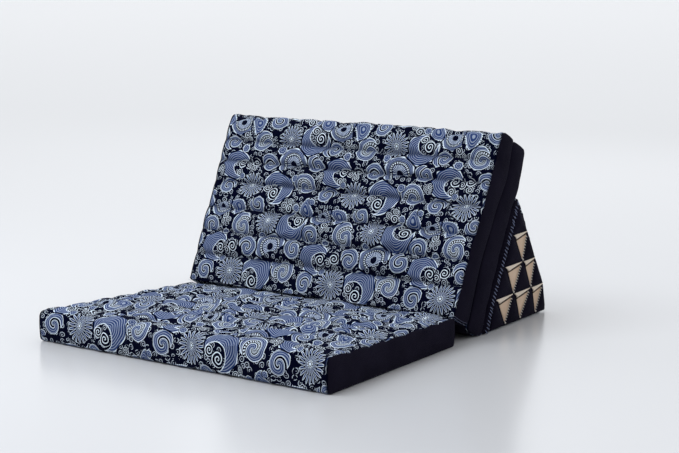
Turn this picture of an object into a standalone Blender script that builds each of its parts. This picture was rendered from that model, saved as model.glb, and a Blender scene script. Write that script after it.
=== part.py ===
"""Thai triangle cushion: three channelled kapok mats that fold out of a triangular bolster.

The first mat lies on the floor as a seat. The other two stand back to back against the bolster as
a backrest. Metres, X across the width, Y from the seat's front edge to the bolster's back, +Z up.
The pieces are modelled with Y = 0 at the seat's front edge. At the end the whole cushion moves so
that the origin lies on the floor under its middle.
"""

import math

import bmesh
import bpy
from mathutils import Matrix, Vector

for old in list(bpy.data.objects):
    bpy.data.objects.remove(old, do_unlink=True)

# Sizes that drive the whole cushion
HALF_WIDTH = 0.400
LEAN = math.radians(25.0)
CLOTH = 0.0020
SEAM_GAP = 0.0005

# The line where the two standing mats meet, at their lower ends
FOLD_Y = 0.569
FOLD_Z = 0.037

# How the filled mats swell, and how far their sewn channels draw in
MAT_BOX = 0.070
SIDE_SWELL = 0.004
END_SWELL = 0.003
DIP_MIDDLE = 0.011
DIP_SIDE = 0.004
CHANNEL_CUTS = (0.20, 0.50, 0.80)
WIDTH_CUTS = (-0.90, -0.64, -0.22, 0.22, 0.64, 0.90)

# One row a mat. channels: widths of the sewn channels, from its start to its end. edge: its
# thickness at its sides, as (share of its length, thickness). tilt: how much thicker its right
# side is. crown: how far its middle rises. dip: depth of its channels, 1 for full. left and
# right: half widths at its start and its end. drop: how far a standing mat starts below the fold.
# rounds: radius of its long edges: the start's under and upper edge, the end's under and upper
# edge, where the under side is the floor's or the fold's, and hinged edges are the sharpest.
MATS = {
    "seat_mat": {
        "channels": (0.076, 0.069, 0.072, 0.070, 0.073, 0.069, 0.071),
        "edge": ((0.0, 0.077), (0.18, 0.073), (0.36, 0.070), (0.57, 0.068), (1.0, 0.065)),
        "tilt": 0.05,
        "crown": 0.010,
        "dip": 1.0,
        "left": (0.418, 0.380),
        "right": (0.400, 0.400),
        "rounds": (0.010, 0.013, 0.008, 0.006),
    },
    "back_mat": {
        "channels": (0.074, 0.062, 0.063, 0.073, 0.056, 0.057, 0.071),
        "edge": ((0.0, 0.070), (0.35, 0.071), (0.53, 0.063), (0.89, 0.062), (1.0, 0.059)),
        "tilt": 0.0,
        "crown": 0.006,
        "dip": 1.0,
        "left": (0.392, 0.406),
        "right": (0.396, 0.404),
        "drop": 0.0,
        "rounds": (0.012, 0.006, 0.008, 0.013),
    },
    "rear_mat": {
        "channels": (0.068, 0.064, 0.066, 0.065, 0.064, 0.066, 0.073),
        "edge": (
            (0.0, 0.0715),
            (0.18, 0.0665),
            (0.45, 0.0675),
            (0.66, 0.0700),
            (0.80, 0.0800),
            (1.0, 0.0710),
        ),
        "tilt": 0.0,
        "crown": 0.0,
        "dip": 0.5,
        "left": (0.394, 0.404),
        "right": (0.397, 0.402),
        "drop": 0.012,
        "rounds": (0.012, 0.010, 0.008, 0.013),
    },
}

# Where the two standing mats press into each other: (height up the mats, shift to the front)
FOLD_BEND = ((0.0, 0.0), (0.145, 0.009), (0.265, 0.002), (0.365, -0.011), (0.450, 0.0))
FOLD_GAP = 0.0006

# The bolster's section before its corners are rounded: (Y, Z, corner radius)
BOLSTER_FRONT = (0.6318, 0.0, 0.012)
BOLSTER_TOP = (0.7864, 0.3326, 0.024)
BOLSTER_BACK = (0.9670, 0.0, 0.026)
BOLSTER_HALF = 0.3965
BOLSTER_END_ROUND = 0.007
BOLSTER_SWELL = 0.009
BOLSTER_ROW = 0.0735
BOLSTER_ROWS = 4

# The corners of the bolster's tube ends: rows of (Z, their Y from front to back)
END_ROWS = (
    (0.2930, (0.7990,)),
    (0.2205, (0.7720, 0.8490)),
    (0.1480, (0.7325, 0.8255, 0.8925)),
    (0.0755, (0.6890, 0.7810, 0.8705, 0.9345)),
    (0.0060, (0.6670, 0.7405, 0.8165, 0.8975, 0.9480)),
)
TUBE_INSET = 0.0090
TUBE_RISE = 0.0055
TUBE_CROWN = 0.0022
POCKET_SEAM = 0.0028
POCKET_CLEAR = 0.0006
POCKET_LIP_FRONT = 0.0130
POCKET_LIP_BACK = 0.0070
POCKET_LIP_RISE = 0.0050
POCKET_FOLD = 0.0010

# The strip that hinges the seat to the back mat
TAPE = 0.0016
TAPE_HALF = 0.384
TAPE_CLEAR = 0.0005
HINGE_CREASE = 0.0580
HINGE_WIDTH = 0.0320
HINGE_UNDER = 0.0520
HINGE_BEND = 0.0060

STAND = Matrix.Rotation(math.pi / 2 - LEAN, 4, "X")
UP_MAT = STAND @ Vector((0.0, 1.0, 0.0))
OUT_MAT = STAND @ Vector((0.0, 0.0, 1.0))
FOLD = Vector((0.0, FOLD_Y, FOLD_Z))
REAR_FOOT = FOLD - UP_MAT * MATS["rear_mat"]["drop"] - OUT_MAT * FOLD_GAP

# Each mat's place, and the way its channelled face looks in that place
PLACES = {
    "seat_mat": (Matrix.Identity(4), 1),
    "back_mat": (Matrix.Translation(FOLD) @ STAND, 1),
    "rear_mat": (Matrix.Translation(REAR_FOOT) @ STAND, -1),
}

# Each cloth's base colour and roughness
CLOTHS = {
    "print_cloth": ((0.17, 0.23, 0.42, 1.0), 0.85),
    "navy_cloth": ((0.012, 0.010, 0.026, 1.0), 0.90),
    "cream_cloth": ((0.62, 0.47, 0.34, 1.0), 0.88),
}


def cloth_material(name):
    """The named cloth's material."""
    material = bpy.data.materials.get(name)
    if material is None:
        colour, roughness = CLOTHS[name]
        material = bpy.data.materials.new(name)
        material.use_nodes = True
        shader = material.node_tree.nodes["Principled BSDF"]
        shader.inputs["Base Color"].default_value = colour
        shader.inputs["Roughness"].default_value = roughness
        shader.inputs["Metallic"].default_value = 0.0
    return material


def put(name, bm, cloth, place=None):
    """A named object from a bmesh, with soft edges shaded smooth."""
    if all(edge.is_manifold for edge in bm.edges):
        bmesh.ops.recalc_face_normals(bm, faces=bm.faces)
    mesh = bpy.data.meshes.new(name)
    bm.to_mesh(mesh)
    bm.free()
    mesh.materials.append(cloth_material(cloth))
    mesh.shade_smooth()
    mesh.set_sharp_from_angle(angle=math.radians(40))
    piece = bpy.data.objects.new(name, mesh)
    if place is not None:
        piece.matrix_world = place
    bpy.context.scene.collection.objects.link(piece)
    return piece


def thicken(piece, thickness, offset):
    """Gives a sheet its thickness: offset -1 below its face, 0 on both sides."""
    solid = piece.modifiers.new("Thickness", "SOLIDIFY")
    solid.thickness = thickness
    solid.offset = offset
    solid.use_even_offset = True


def cut(bm, axis, positions):
    """Cuts the mesh across an axis at each position, so that it has points to shape there."""
    normal = Vector([float(i == axis) for i in range(3)])
    for position in positions:
        everything = bm.verts[:] + bm.edges[:] + bm.faces[:]
        bmesh.ops.bisect_plane(bm, geom=everything, plane_co=normal * position, plane_no=normal)


def between(rows, share):
    """Reads a table of (share, value) rows at a share, with soft turns at its rows."""
    for (low, first), (high, last) in zip(rows, rows[1:]):
        if share <= high:
            t = min(max((share - low) / (high - low), 0.0), 1.0)
            return first + (last - first) * t * t * (3 - 2 * t)
    return rows[-1][1]


def round_edge(bm, corner, offset, segments):
    """Rounds the edge that runs along X through a corner of the section, given as (Y, Z)."""
    edges = []
    for edge in bm.edges:
        if all((Vector(v.co.yz) - Vector(corner)).length < SEAM_GAP for v in edge.verts):
            edges.append(edge)
    bmesh.ops.bevel(
        bm,
        geom=edges,
        offset=offset,
        offset_type="OFFSET",
        segments=segments,
        profile=0.5,
        affect="EDGES",
        material=-1,
    )


# Mats


def channel_lines(mat):
    """How far along the mat each sewn line lies, with both of its ends."""
    lines = [0.0]
    for width in mat["channels"]:
        lines.append(lines[-1] + width)
    return lines


def fullness(mat, s):
    """0 on a sewn line and 1 on a channel's crest."""
    lines = channel_lines(mat)
    for low, high in zip(lines, lines[1:]):
        if s <= high:
            share = min(max((s - low) / (high - low), 0.0), 1.0)
            return (4 * share * (1 - share)) ** 0.6
    return 0.0


def soften(name, point):
    """Where a point of the mat's plain box lies on the filled mat."""
    mat = MATS[name]
    facing = PLACES[name][1]
    x, s, n = point
    across = x / HALF_WIDTH
    along = min(max(s / channel_lines(mat)[-1], 0.0), 1.0)
    level = n / MAT_BOX
    middle = 1 - min(abs(across), 1.0) ** 4
    from_ends = abs(2 * along - 1)

    edge = between(mat["edge"], along) * (1 + mat["tilt"] * across)
    crown = mat["crown"] * middle * (1 - from_ends**4)
    depth = mat["dip"] * (DIP_SIDE + (DIP_MIDDLE - DIP_SIDE) * middle)
    top = edge + crown - depth * (1 - fullness(mat, s)) * (1 - from_ends**30)
    base = facing * between(FOLD_BEND, s - mat["drop"]) if "drop" in mat else 0.0

    swell = 1 - (2 * level - 1) ** 2
    start, end = mat["right"] if x > 0 else mat["left"]
    half = start + (end - start) * along * along * (3 - 2 * along)
    side = SIDE_SWELL * swell * (1 - from_ends**8) * min(abs(across), 1.0) ** 12
    bulge = END_SWELL * swell * from_ends**16
    return Vector(
        (
            across * half + math.copysign(side, x),
            s + math.copysign(bulge, along - 0.5),
            facing * (base + (top - base) * level),
        )
    )


def filled_mat(name):
    """The mat as a box with rounded long edges, cut at its channels and then filled out."""
    mat = MATS[name]
    length = channel_lines(mat)[-1]
    half = HALF_WIDTH - CLOTH - SEAM_GAP
    bm = bmesh.new()
    bmesh.ops.create_cube(bm, size=1.0)
    size = Matrix.Diagonal((2 * half, length, MAT_BOX, 1.0))
    middle = Matrix.Translation((0.0, length / 2, MAT_BOX / 2))
    bmesh.ops.transform(bm, matrix=middle @ size, verts=bm.verts)
    corners = ((0.0, 0.0), (0.0, MAT_BOX), (length, 0.0), (length, MAT_BOX))
    for corner, radius in zip(corners, mat["rounds"]):
        round_edge(bm, corner, radius, 3)
    lines = channel_lines(mat)
    cuts = lines[1:-1]
    for low, high in zip(lines, lines[1:]):
        cuts += [low + share * (high - low) for share in CHANNEL_CUTS]
    cut(bm, 1, cuts)
    cut(bm, 2, (MAT_BOX / 2,))
    cut(bm, 0, [half * share for share in WIDTH_CUTS])
    bmesh.ops.triangulate(bm, faces=[f for f in bm.faces if abs(f.normal.x) > 0.9])
    for vert in bm.verts:
        vert.co = soften(name, vert.co)
    return bm


def rest_on_floor(bm, place):
    """Flattens what would reach below the floor, as the cushion's own weight does."""
    back = place.inverted()
    for vert in bm.verts:
        world = place @ vert.co
        vert.co = back @ Vector((world.x, world.y, max(world.z, 0.0)))
    bm.normal_update()


def make_gusset(name, side, sign, filled, place):
    """The plain navy cloth over one side of a mat, cut to that side's own outline."""
    bm = filled.copy()
    bm.normal_update()
    others = [f for f in bm.faces if f.normal.x * sign < 0.6]
    bmesh.ops.delete(bm, geom=others, context="FACES")
    bmesh.ops.translate(bm, verts=bm.verts, vec=(sign * SEAM_GAP, 0.0, 0.0))
    outer = bmesh.ops.extrude_face_region(bm, geom=bm.faces[:])["geom"]
    moved = [g for g in outer if isinstance(g, bmesh.types.BMVert)]
    bmesh.ops.translate(bm, verts=moved, vec=(sign * CLOTH, 0.0, 0.0))
    put(f"{name}_gusset_{side}", bm, "navy_cloth", place)


def make_mat(name):
    """One filled mat in its printed cloth, with a gusset sewn to each side."""
    place = PLACES[name][0]
    filled = filled_mat(name)
    rest_on_floor(filled, place)
    bmesh.ops.recalc_face_normals(filled, faces=filled.faces)
    for side, sign in (("left", -1), ("right", 1)):
        make_gusset(name, side, sign, filled, place)
    put(name, filled, "print_cloth", place)


# Bolster


def swell_bolster(bm):
    """Pushes the back slope out, most between its sewn rows."""
    top = Vector(BOLSTER_TOP[:2])
    slope = Vector(BOLSTER_BACK[:2]) - top
    outward = Vector((-slope.y, slope.x)).normalized()
    for vert in bm.verts:
        depth = (top - Vector(vert.co.yz)).dot(outward)
        near = max(1 - depth / (2 * BOLSTER_BACK[2]), 0.0)
        height = vert.co.z / BOLSTER_TOP[1]
        share = (vert.co.z / BOLSTER_ROW) % 1.0
        lobe = (4 * share * (1 - share)) ** 0.6
        push = BOLSTER_SWELL * near * 4 * height * (1 - height) * (0.5 + 0.5 * lobe)
        vert.co.y += push * outward.x
        vert.co.z += push * outward.y


def make_bolster():
    """The triangular pillow of stuffed tubes, as one filled prism with soft corners."""
    corners = (BOLSTER_FRONT, BOLSTER_BACK, BOLSTER_TOP)
    bm = bmesh.new()
    section = bm.faces.new([bm.verts.new((-BOLSTER_HALF, y, z)) for y, z, _ in corners])
    far = bmesh.ops.extrude_face_region(bm, geom=[section])["geom"]
    moved = [g for g in far if isinstance(g, bmesh.types.BMVert)]
    bmesh.ops.translate(bm, verts=moved, vec=(2 * BOLSTER_HALF, 0.0, 0.0))
    bmesh.ops.recalc_face_normals(bm, faces=bm.faces)
    for index, (y, z, radius) in enumerate(corners):
        neighbours = (corners[index - 1], corners[(index + 1) % 3])
        first, second = (Vector(n[:2]) - Vector((y, z)) for n in neighbours)
        round_edge(bm, (y, z), radius / math.tan(first.angle(second) / 2), 4)
    rims = []
    for edge in bm.edges:
        if all(abs(abs(v.co.x) - BOLSTER_HALF) < SEAM_GAP for v in edge.verts):
            rims.append(edge)
    rims = [e for e in rims if abs(e.verts[0].co.x - e.verts[1].co.x) < SEAM_GAP]
    bmesh.ops.bevel(
        bm,
        geom=rims,
        offset=BOLSTER_END_ROUND,
        offset_type="OFFSET",
        segments=2,
        profile=0.5,
        affect="EDGES",
        material=-1,
    )
    cut(bm, 2, [BOLSTER_ROW * k / 4 for k in range(1, 4 * BOLSTER_ROWS)])
    cut(bm, 0, [BOLSTER_HALF * share for share in (-0.6, 0.0, 0.6)])
    swell_bolster(bm)
    put("bolster", bm, "print_cloth")


# Ends of the bolster


def end_corner(row, index):
    """One corner of the tube ends, in the plane of the end panel's cloth."""
    z, places = END_ROWS[row]
    return Vector((BOLSTER_HALF + SEAM_GAP + CLOTH, places[index], z))


def mirror_to(bm, sign):
    """Turns a sheet made for the right end into one for the left, still facing outwards."""
    bmesh.ops.scale(bm, vec=(sign, 1.0, 1.0), verts=bm.verts)
    if sign < 0:
        bmesh.ops.reverse_faces(bm, faces=bm.faces)


def make_end_panel(side, sign):
    """Ten puffed navy tube ends in four rows, with a gap for each pocket between them."""
    bm = bmesh.new()
    rows = []
    for row, (_, places) in enumerate(END_ROWS):
        rows.append([bm.verts.new(end_corner(row, i)) for i in range(len(places))])
    tubes = []
    pockets = []
    for upper, lower in zip(rows, rows[1:]):
        for i, corner in enumerate(upper):
            tubes.append(bm.faces.new((corner, lower[i], lower[i + 1])))
        for i in range(len(upper) - 1):
            pockets.append(bm.faces.new((upper[i], lower[i + 1], upper[i + 1])))
    bm.normal_update()
    bmesh.ops.inset_individual(bm, faces=pockets, thickness=POCKET_SEAM, use_even_offset=True)
    bmesh.ops.delete(bm, geom=pockets, context="FACES")
    bmesh.ops.inset_individual(
        bm, faces=tubes, thickness=TUBE_INSET, depth=TUBE_RISE, use_even_offset=True
    )
    bmesh.ops.poke(bm, faces=tubes, offset=TUBE_CROWN)
    mirror_to(bm, sign)
    thicken(put(f"end_panel_{side}", bm, "navy_cloth"), CLOTH, -1.0)


def make_pocket(side, sign, row, index):
    """One cream pocket: a triangle sunk between the tube ends, under a lip folded over its top."""
    front = end_corner(row, index)
    back = end_corner(row, index + 1)
    tip = end_corner(row + 1, index + 1)
    bm = bmesh.new()
    face = bm.faces.new([bm.verts.new(corner) for corner in (front, tip, back)])
    bm.normal_update()
    inset = POCKET_SEAM + POCKET_CLEAR
    bmesh.ops.inset_individual(bm, faces=[face], thickness=inset, use_even_offset=True)
    bmesh.ops.delete(bm, geom=[f for f in bm.faces if f != face], context="FACES")

    lip_front = front + Vector((0.0, 0.0, -POCKET_LIP_FRONT))
    lip_back = back + Vector((0.0, 0.0, -POCKET_LIP_BACK))
    along = lip_back - lip_front
    upward = Vector((0.0, -along.z, along.y)).normalized()
    for drop in (0.0, POCKET_FOLD):
        bmesh.ops.bisect_plane(
            bm,
            geom=bm.verts[:] + bm.edges[:] + bm.faces[:],
            plane_co=lip_front - upward * drop,
            plane_no=upward,
        )
    for vert in bm.verts:
        if (vert.co - lip_front).dot(upward) > -POCKET_FOLD / 2:
            vert.co.x += POCKET_LIP_RISE
    mirror_to(bm, sign)
    thicken(put(f"pocket_{side}_{row}{index + 1}", bm, "cream_cloth"), TAPE, -1.0)


def make_end(side, sign):
    make_end_panel(side, sign)
    for row in range(1, len(END_ROWS) - 1):
        for index in range(row):
            make_pocket(side, sign, row, index)


# Hinge


def make_strip(name, points):
    """A strip of navy cloth across the cushion, through points of its section as (Y, Z)."""
    bm = bmesh.new()
    verts = [bm.verts.new((-TAPE_HALF, y, z)) for y, z in points]
    edges = [bm.edges.new(pair) for pair in zip(verts, verts[1:])]
    far = bmesh.ops.extrude_edge_only(bm, edges=edges)["geom"]
    moved = [g for g in far if isinstance(g, bmesh.types.BMVert)]
    bmesh.ops.translate(bm, verts=moved, vec=(2 * TAPE_HALF, 0.0, 0.0))
    thicken(put(name, bm, "navy_cloth"), TAPE, 0.0)


def on_mat(name, s, n):
    """A place in a mat's own section, as (Y, Z) of the cushion."""
    place, facing = PLACES[name]
    point = place @ Vector((0.0, s, facing * n))
    return point.y, point.z


def make_hinge():
    """The strip in the crease: up the seat's end, then under the back mat's lower end."""
    off = TAPE_CLEAR + TAPE / 2
    seat_end = channel_lines(MATS["seat_mat"])[-1] + END_SWELL + off
    below = -END_SWELL - off
    crease = on_mat("back_mat", below, HINGE_CREASE)
    make_strip(
        "seat_hinge",
        (
            (seat_end, crease[1] - HINGE_WIDTH),
            (seat_end, crease[1] - HINGE_BEND),
            (seat_end + HINGE_BEND / 2, crease[1]),
            on_mat("back_mat", below, HINGE_CREASE - 2 * HINGE_BEND),
            on_mat("back_mat", below, HINGE_CREASE - HINGE_UNDER),
        ),
    )


def centre_on_floor():
    """Moves every piece so that the origin is under the middle of the whole cushion."""
    bpy.context.view_layer.update()
    graph = bpy.context.evaluated_depsgraph_get()
    corners = []
    for piece in bpy.data.objects:
        solid = piece.evaluated_get(graph)
        corners += [solid.matrix_world @ vert.co for vert in solid.data.vertices]
    lowest = Vector([min(c[i] for c in corners) for i in range(3)])
    highest = Vector([max(c[i] for c in corners) for i in range(3)])
    middle = (lowest + highest) / 2
    shift = Matrix.Translation((-middle.x, -middle.y, -lowest.z))
    for piece in bpy.data.objects:
        piece.matrix_world = shift @ piece.matrix_world


for mat_name in MATS:
    make_mat(mat_name)
make_bolster()
for end_side, end_sign in (("left", -1), ("right", 1)):
    make_end(end_side, end_sign)
make_hinge()
centre_on_floor()
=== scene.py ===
import math
from functools import partialmethod

import bmesh
import bpy
from mathutils import Matrix, Vector, noise


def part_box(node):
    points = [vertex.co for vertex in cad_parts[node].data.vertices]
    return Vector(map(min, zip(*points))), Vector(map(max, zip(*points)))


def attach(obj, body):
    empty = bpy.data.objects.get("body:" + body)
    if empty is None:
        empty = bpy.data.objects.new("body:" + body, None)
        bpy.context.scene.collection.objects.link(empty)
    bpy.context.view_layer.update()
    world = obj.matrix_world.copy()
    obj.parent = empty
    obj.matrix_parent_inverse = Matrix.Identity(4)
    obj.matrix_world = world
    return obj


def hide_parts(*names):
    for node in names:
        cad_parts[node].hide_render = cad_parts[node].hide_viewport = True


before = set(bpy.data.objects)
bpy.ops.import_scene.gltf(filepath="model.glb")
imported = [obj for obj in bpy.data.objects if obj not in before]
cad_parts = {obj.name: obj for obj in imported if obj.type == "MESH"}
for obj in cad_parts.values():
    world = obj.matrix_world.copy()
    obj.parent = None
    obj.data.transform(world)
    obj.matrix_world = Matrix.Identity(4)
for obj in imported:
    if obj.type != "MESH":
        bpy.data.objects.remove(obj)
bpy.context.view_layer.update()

# The studio: a softly glossy pale floor, a sky that is bright behind the cushion and dim in front,
# a window light behind it, and a soft light from the upper left in front. The camera stands low,
# in front of the cushion and to its right.
CAMERA_PLACE = (2.1505, -2.966, 0.860)
CAMERA_TURN = math.radians(34.594)
CAMERA_DIP = math.radians(9.562)
CAMERA_LENS = 82.2
FLOOR_SIZE = 120.0
FLOOR_COLOUR = (0.58, 0.58, 0.592, 1.0)
FLOOR_GLOSS = 0.20
FLOOR_ROUGHNESS = 0.22
SKY_COLOUR = (0.95, 0.97, 1.0, 1.0)
SKY_BEHIND = 1.36
SKY_FRONT = 0.28

camera = bpy.data.objects.new("camera", bpy.data.cameras.new("camera"))
camera.data.lens = CAMERA_LENS
camera.location = CAMERA_PLACE
camera.rotation_euler = (math.pi / 2 - CAMERA_DIP, 0.0, CAMERA_TURN)
bpy.context.scene.collection.objects.link(camera)
bpy.context.scene.camera = camera


def soft_light(name, place, aim, size, power, colour):
    """A rectangular soft light at a place, aimed at a point."""
    data = bpy.data.lights.new(name, "AREA")
    data.shape = "RECTANGLE"
    data.size, data.size_y = size
    data.energy = power
    data.color = colour
    light = bpy.data.objects.new(name, data)
    light.location = place
    light.rotation_euler = (Vector(aim) - Vector(place)).to_track_quat("-Z", "Y").to_euler()
    bpy.context.scene.collection.objects.link(light)


soft_light("window_light", (-0.6, 3.2, 2.3), (0.0, 0.0, 0.2), (5.0, 2.4), 22.0, (0.96, 0.98, 1.0))
soft_light("top_light", (-0.9, -1.7, 2.8), (0.0, 0.0, 0.2), (2.2, 1.8), 64.0, (0.90, 0.95, 1.0))

world = bpy.data.worlds.new("studio")
world.use_nodes = True
sky = world.node_tree.nodes["Background"]
sky.inputs["Color"].default_value = SKY_COLOUR
towards = world.node_tree.nodes.new("ShaderNodeVectorMath")
towards.operation = "DOT_PRODUCT"
towards.inputs[1].default_value = (-math.sin(CAMERA_TURN), math.cos(CAMERA_TURN), 0.0)
fade = world.node_tree.nodes.new("ShaderNodeMapRange")
fade.inputs["From Min"].default_value = -1.0
fade.inputs["To Min"].default_value = SKY_FRONT
fade.inputs["To Max"].default_value = SKY_BEHIND
sky_place = world.node_tree.nodes.new("ShaderNodeTexCoord")
world.node_tree.links.new(sky_place.outputs["Generated"], towards.inputs[0])
world.node_tree.links.new(towards.outputs["Value"], fade.inputs["Value"])
world.node_tree.links.new(fade.outputs["Result"], sky.inputs["Strength"])
bpy.context.scene.world = world
bpy.context.scene.view_settings.view_transform = "Standard"

floor_bm = bmesh.new()
bmesh.ops.create_grid(floor_bm, x_segments=1, y_segments=1, size=FLOOR_SIZE / 2)
floor_mesh = bpy.data.meshes.new("floor")
floor_bm.to_mesh(floor_mesh)
floor_bm.free()
floor_paint = bpy.data.materials.new("floor_paint")
floor_paint.use_nodes = True
floor_shader = floor_paint.node_tree.nodes["Principled BSDF"]
floor_shader.inputs["Base Color"].default_value = FLOOR_COLOUR
floor_shader.inputs["Roughness"].default_value = FLOOR_ROUGHNESS
floor_shader.inputs["Specular IOR Level"].default_value = FLOOR_GLOSS
floor_mesh.materials.append(floor_paint)
floor = bpy.data.objects.new("floor", floor_mesh)
bpy.context.scene.collection.objects.link(floor)


# The three mats: cotton printed with paisley in blues on navy, filled with kapok and sewn in
# channels. One length of the print runs under the mat, up its front, over its top and down its
# end. The seat lies on the floor, and the other two stand back to back, hinged at their feet.
HALF_WIDTH = 0.400
LEAN = math.radians(25.0)
FOLD_Y = 0.569
FOLD_Z = 0.037
MAT_BOX = 0.070
CLOTH = 0.0020
SEAM_GAP = 0.0005
SIDE_SWELL = 0.004
END_SWELL = 0.003
DIP_MIDDLE = 0.011
DIP_SIDE = 0.004
FOLD_BEND = ((0.0, 0.0), (0.145, 0.009), (0.265, 0.002), (0.365, -0.011), (0.450, 0.0))
FOLD_GAP = 0.0006

# The cushion's two ends, with the sign of their X
ENDS = (("left", -1), ("right", 1))

# One row a mat. channels: widths of the sewn channels. edge: thickness at the sides, as (share of
# the length, thickness). tilt: how much thicker the right side is. crown: rise of the middle. dip:
# depth of the channels. left, right: half widths at the start and the end. drop: how far a
# standing mat starts below the fold. rounds: radius of the long edges, start's under and upper
# edge, then the end's. print_from: where on the print's repeat the mat's start edge lies.
MATS = {
    "seat_mat": {
        "channels": (0.076, 0.069, 0.072, 0.070, 0.073, 0.069, 0.071),
        "edge": ((0.0, 0.077), (0.18, 0.073), (0.36, 0.070), (0.57, 0.068), (1.0, 0.065)),
        "tilt": 0.05,
        "crown": 0.010,
        "dip": 1.0,
        "left": (0.418, 0.380),
        "right": (0.400, 0.400),
        "rounds": (0.010, 0.013, 0.008, 0.006),
        "print_from": 0.051,
    },
    "back_mat": {
        "channels": (0.074, 0.062, 0.063, 0.073, 0.056, 0.057, 0.071),
        "edge": ((0.0, 0.070), (0.35, 0.071), (0.53, 0.063), (0.89, 0.062), (1.0, 0.059)),
        "tilt": 0.0,
        "crown": 0.006,
        "dip": 1.0,
        "left": (0.392, 0.406),
        "right": (0.396, 0.404),
        "drop": 0.0,
        "rounds": (0.012, 0.006, 0.008, 0.013),
        "print_from": 0.0,
    },
    "rear_mat": {
        "channels": (0.068, 0.064, 0.066, 0.065, 0.064, 0.066, 0.073),
        "edge": (
            (0.0, 0.0715),
            (0.18, 0.0665),
            (0.45, 0.0675),
            (0.66, 0.0700),
            (0.80, 0.0800),
            (1.0, 0.0710),
        ),
        "tilt": 0.0,
        "crown": 0.0,
        "dip": 0.5,
        "left": (0.394, 0.404),
        "right": (0.397, 0.402),
        "drop": 0.012,
        "rounds": (0.012, 0.010, 0.008, 0.013),
        "print_from": 0.12,
    },
}

# The cushion's own frame starts at the seat's front edge, on the line through its middle.
HINGE_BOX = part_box("seat_hinge")
MIDDLE_X = (HINGE_BOX[0][0] + HINGE_BOX[1][0]) / 2
FRONT_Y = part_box("seat_mat")[0][1] + END_SWELL
ORIGIN = Matrix.Translation((MIDDLE_X, FRONT_Y, 0.0))

STAND = Matrix.Rotation(math.pi / 2 - LEAN, 4, "X")
FOLD = Vector((0.0, FOLD_Y, FOLD_Z))
UP_MAT = STAND @ Vector((0.0, 1.0, 0.0))
OUT_MAT = STAND @ Vector((0.0, 0.0, 1.0))
REAR_FOOT = FOLD - UP_MAT * MATS["rear_mat"]["drop"] - OUT_MAT * FOLD_GAP
PLACES = {
    "seat_mat": (ORIGIN, 1),
    "back_mat": (ORIGIN @ Matrix.Translation(FOLD) @ STAND, 1),
    "rear_mat": (ORIGIN @ Matrix.Translation(REAR_FOOT) @ STAND, -1),
}

# How finely the cloth is cut for its swelling, and how far the filling may push it
CELLS_ACROSS = 118
CELLS_CHANNEL = 9
CELLS_HEIGHT = 9
SWELL_FRAMES = 20
SWELL_PRESSURE = 4.0
SWELL_CAP = 0.009
CLOTH_SLACK = -0.045

# The sewn lines: how wide and deep their valleys are, the width also being that of the painted
# shade along them, how far their cloth puckers and the filling lumps beside them, how much print a
# line takes in, and how dark the painted shade on the print's hidden edges is
VALLEY_WIDTH = 0.006
VALLEY_DEPTH = 0.0045
PUCKER = 0.0030
LUMP = 0.0042
TUCK = 0.007
SEAM_SHADE = 1.8

# The print, listed motif by motif: kind, centre and radius in millimetres on one repeat of 315 by
# 250, turn in degrees, and 1 or -1 for a motif drawn straight or mirrored
REPEAT = (0.315, 0.250)
MOTIF_KINDS = ("hook", "daisy", "crescent", "shell", "fan", "drop", "flower", "curls")
MOTIFS = (
    ("daisy", 40, 36, 38, 0, 1),
    ("crescent", 122, 38, 46, 215, 1),
    ("shell", 206, 48, 37, 60, 1),
    ("hook", 277, 28, 30, 150, -1),
    ("hook", 78, 105, 30, 20, 1),
    ("fan", 150, 114, 42, 25, 1),
    ("hook", 224, 116, 29, 250, -1),
    ("crescent", 289, 96, 42, 330, 1),
    ("curls", 26, 96, 24, 0, 1),
    ("flower", 3, 64, 9, 0, 1),
    ("flower", 110, 148, 12, 20, 1),
    ("shell", 47, 168, 37, 200, -1),
    ("daisy", 124, 188, 35, 9, 1),
    ("crescent", 199, 182, 44, 70, -1),
    ("hook", 264, 160, 29, 100, 1),
    ("flower", 308, 146, 12, 0, 1),
    ("curls", 300, 182, 17, 40, 1),
    ("drop", 12, 224, 28, 40, 1),
    ("hook", 77, 236, 26, 310, -1),
    ("curls", 168, 240, 20, 10, -1),
    ("flower", 197, 236, 10, 10, 1),
    ("drop", 229, 236, 26, 200, -1),
    ("fan", 280, 221, 34, 200, 1),
    ("curls", 245, 78, 16, 0, 1),
    ("flower", 170, 70, 11, 0, 1),
    ("flower", 240, 4, 10, 0, 1),
)
NAVY = (0.0005, 0.0014, 0.0125, 1.0)
BLUE = (0.019, 0.042, 0.145, 1.0)
BLUE_WORN = (0.035, 0.067, 0.200, 1.0)
PALE = (0.800, 0.900, 1.000, 1.0)
LINE_PALE = 0.38
# How far the painted shade along the sewn valleys darkens the print towards navy
VALLEY_SHADE = 0.55
OUTLINE = 0.095
THREAD = 0.0009


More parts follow.
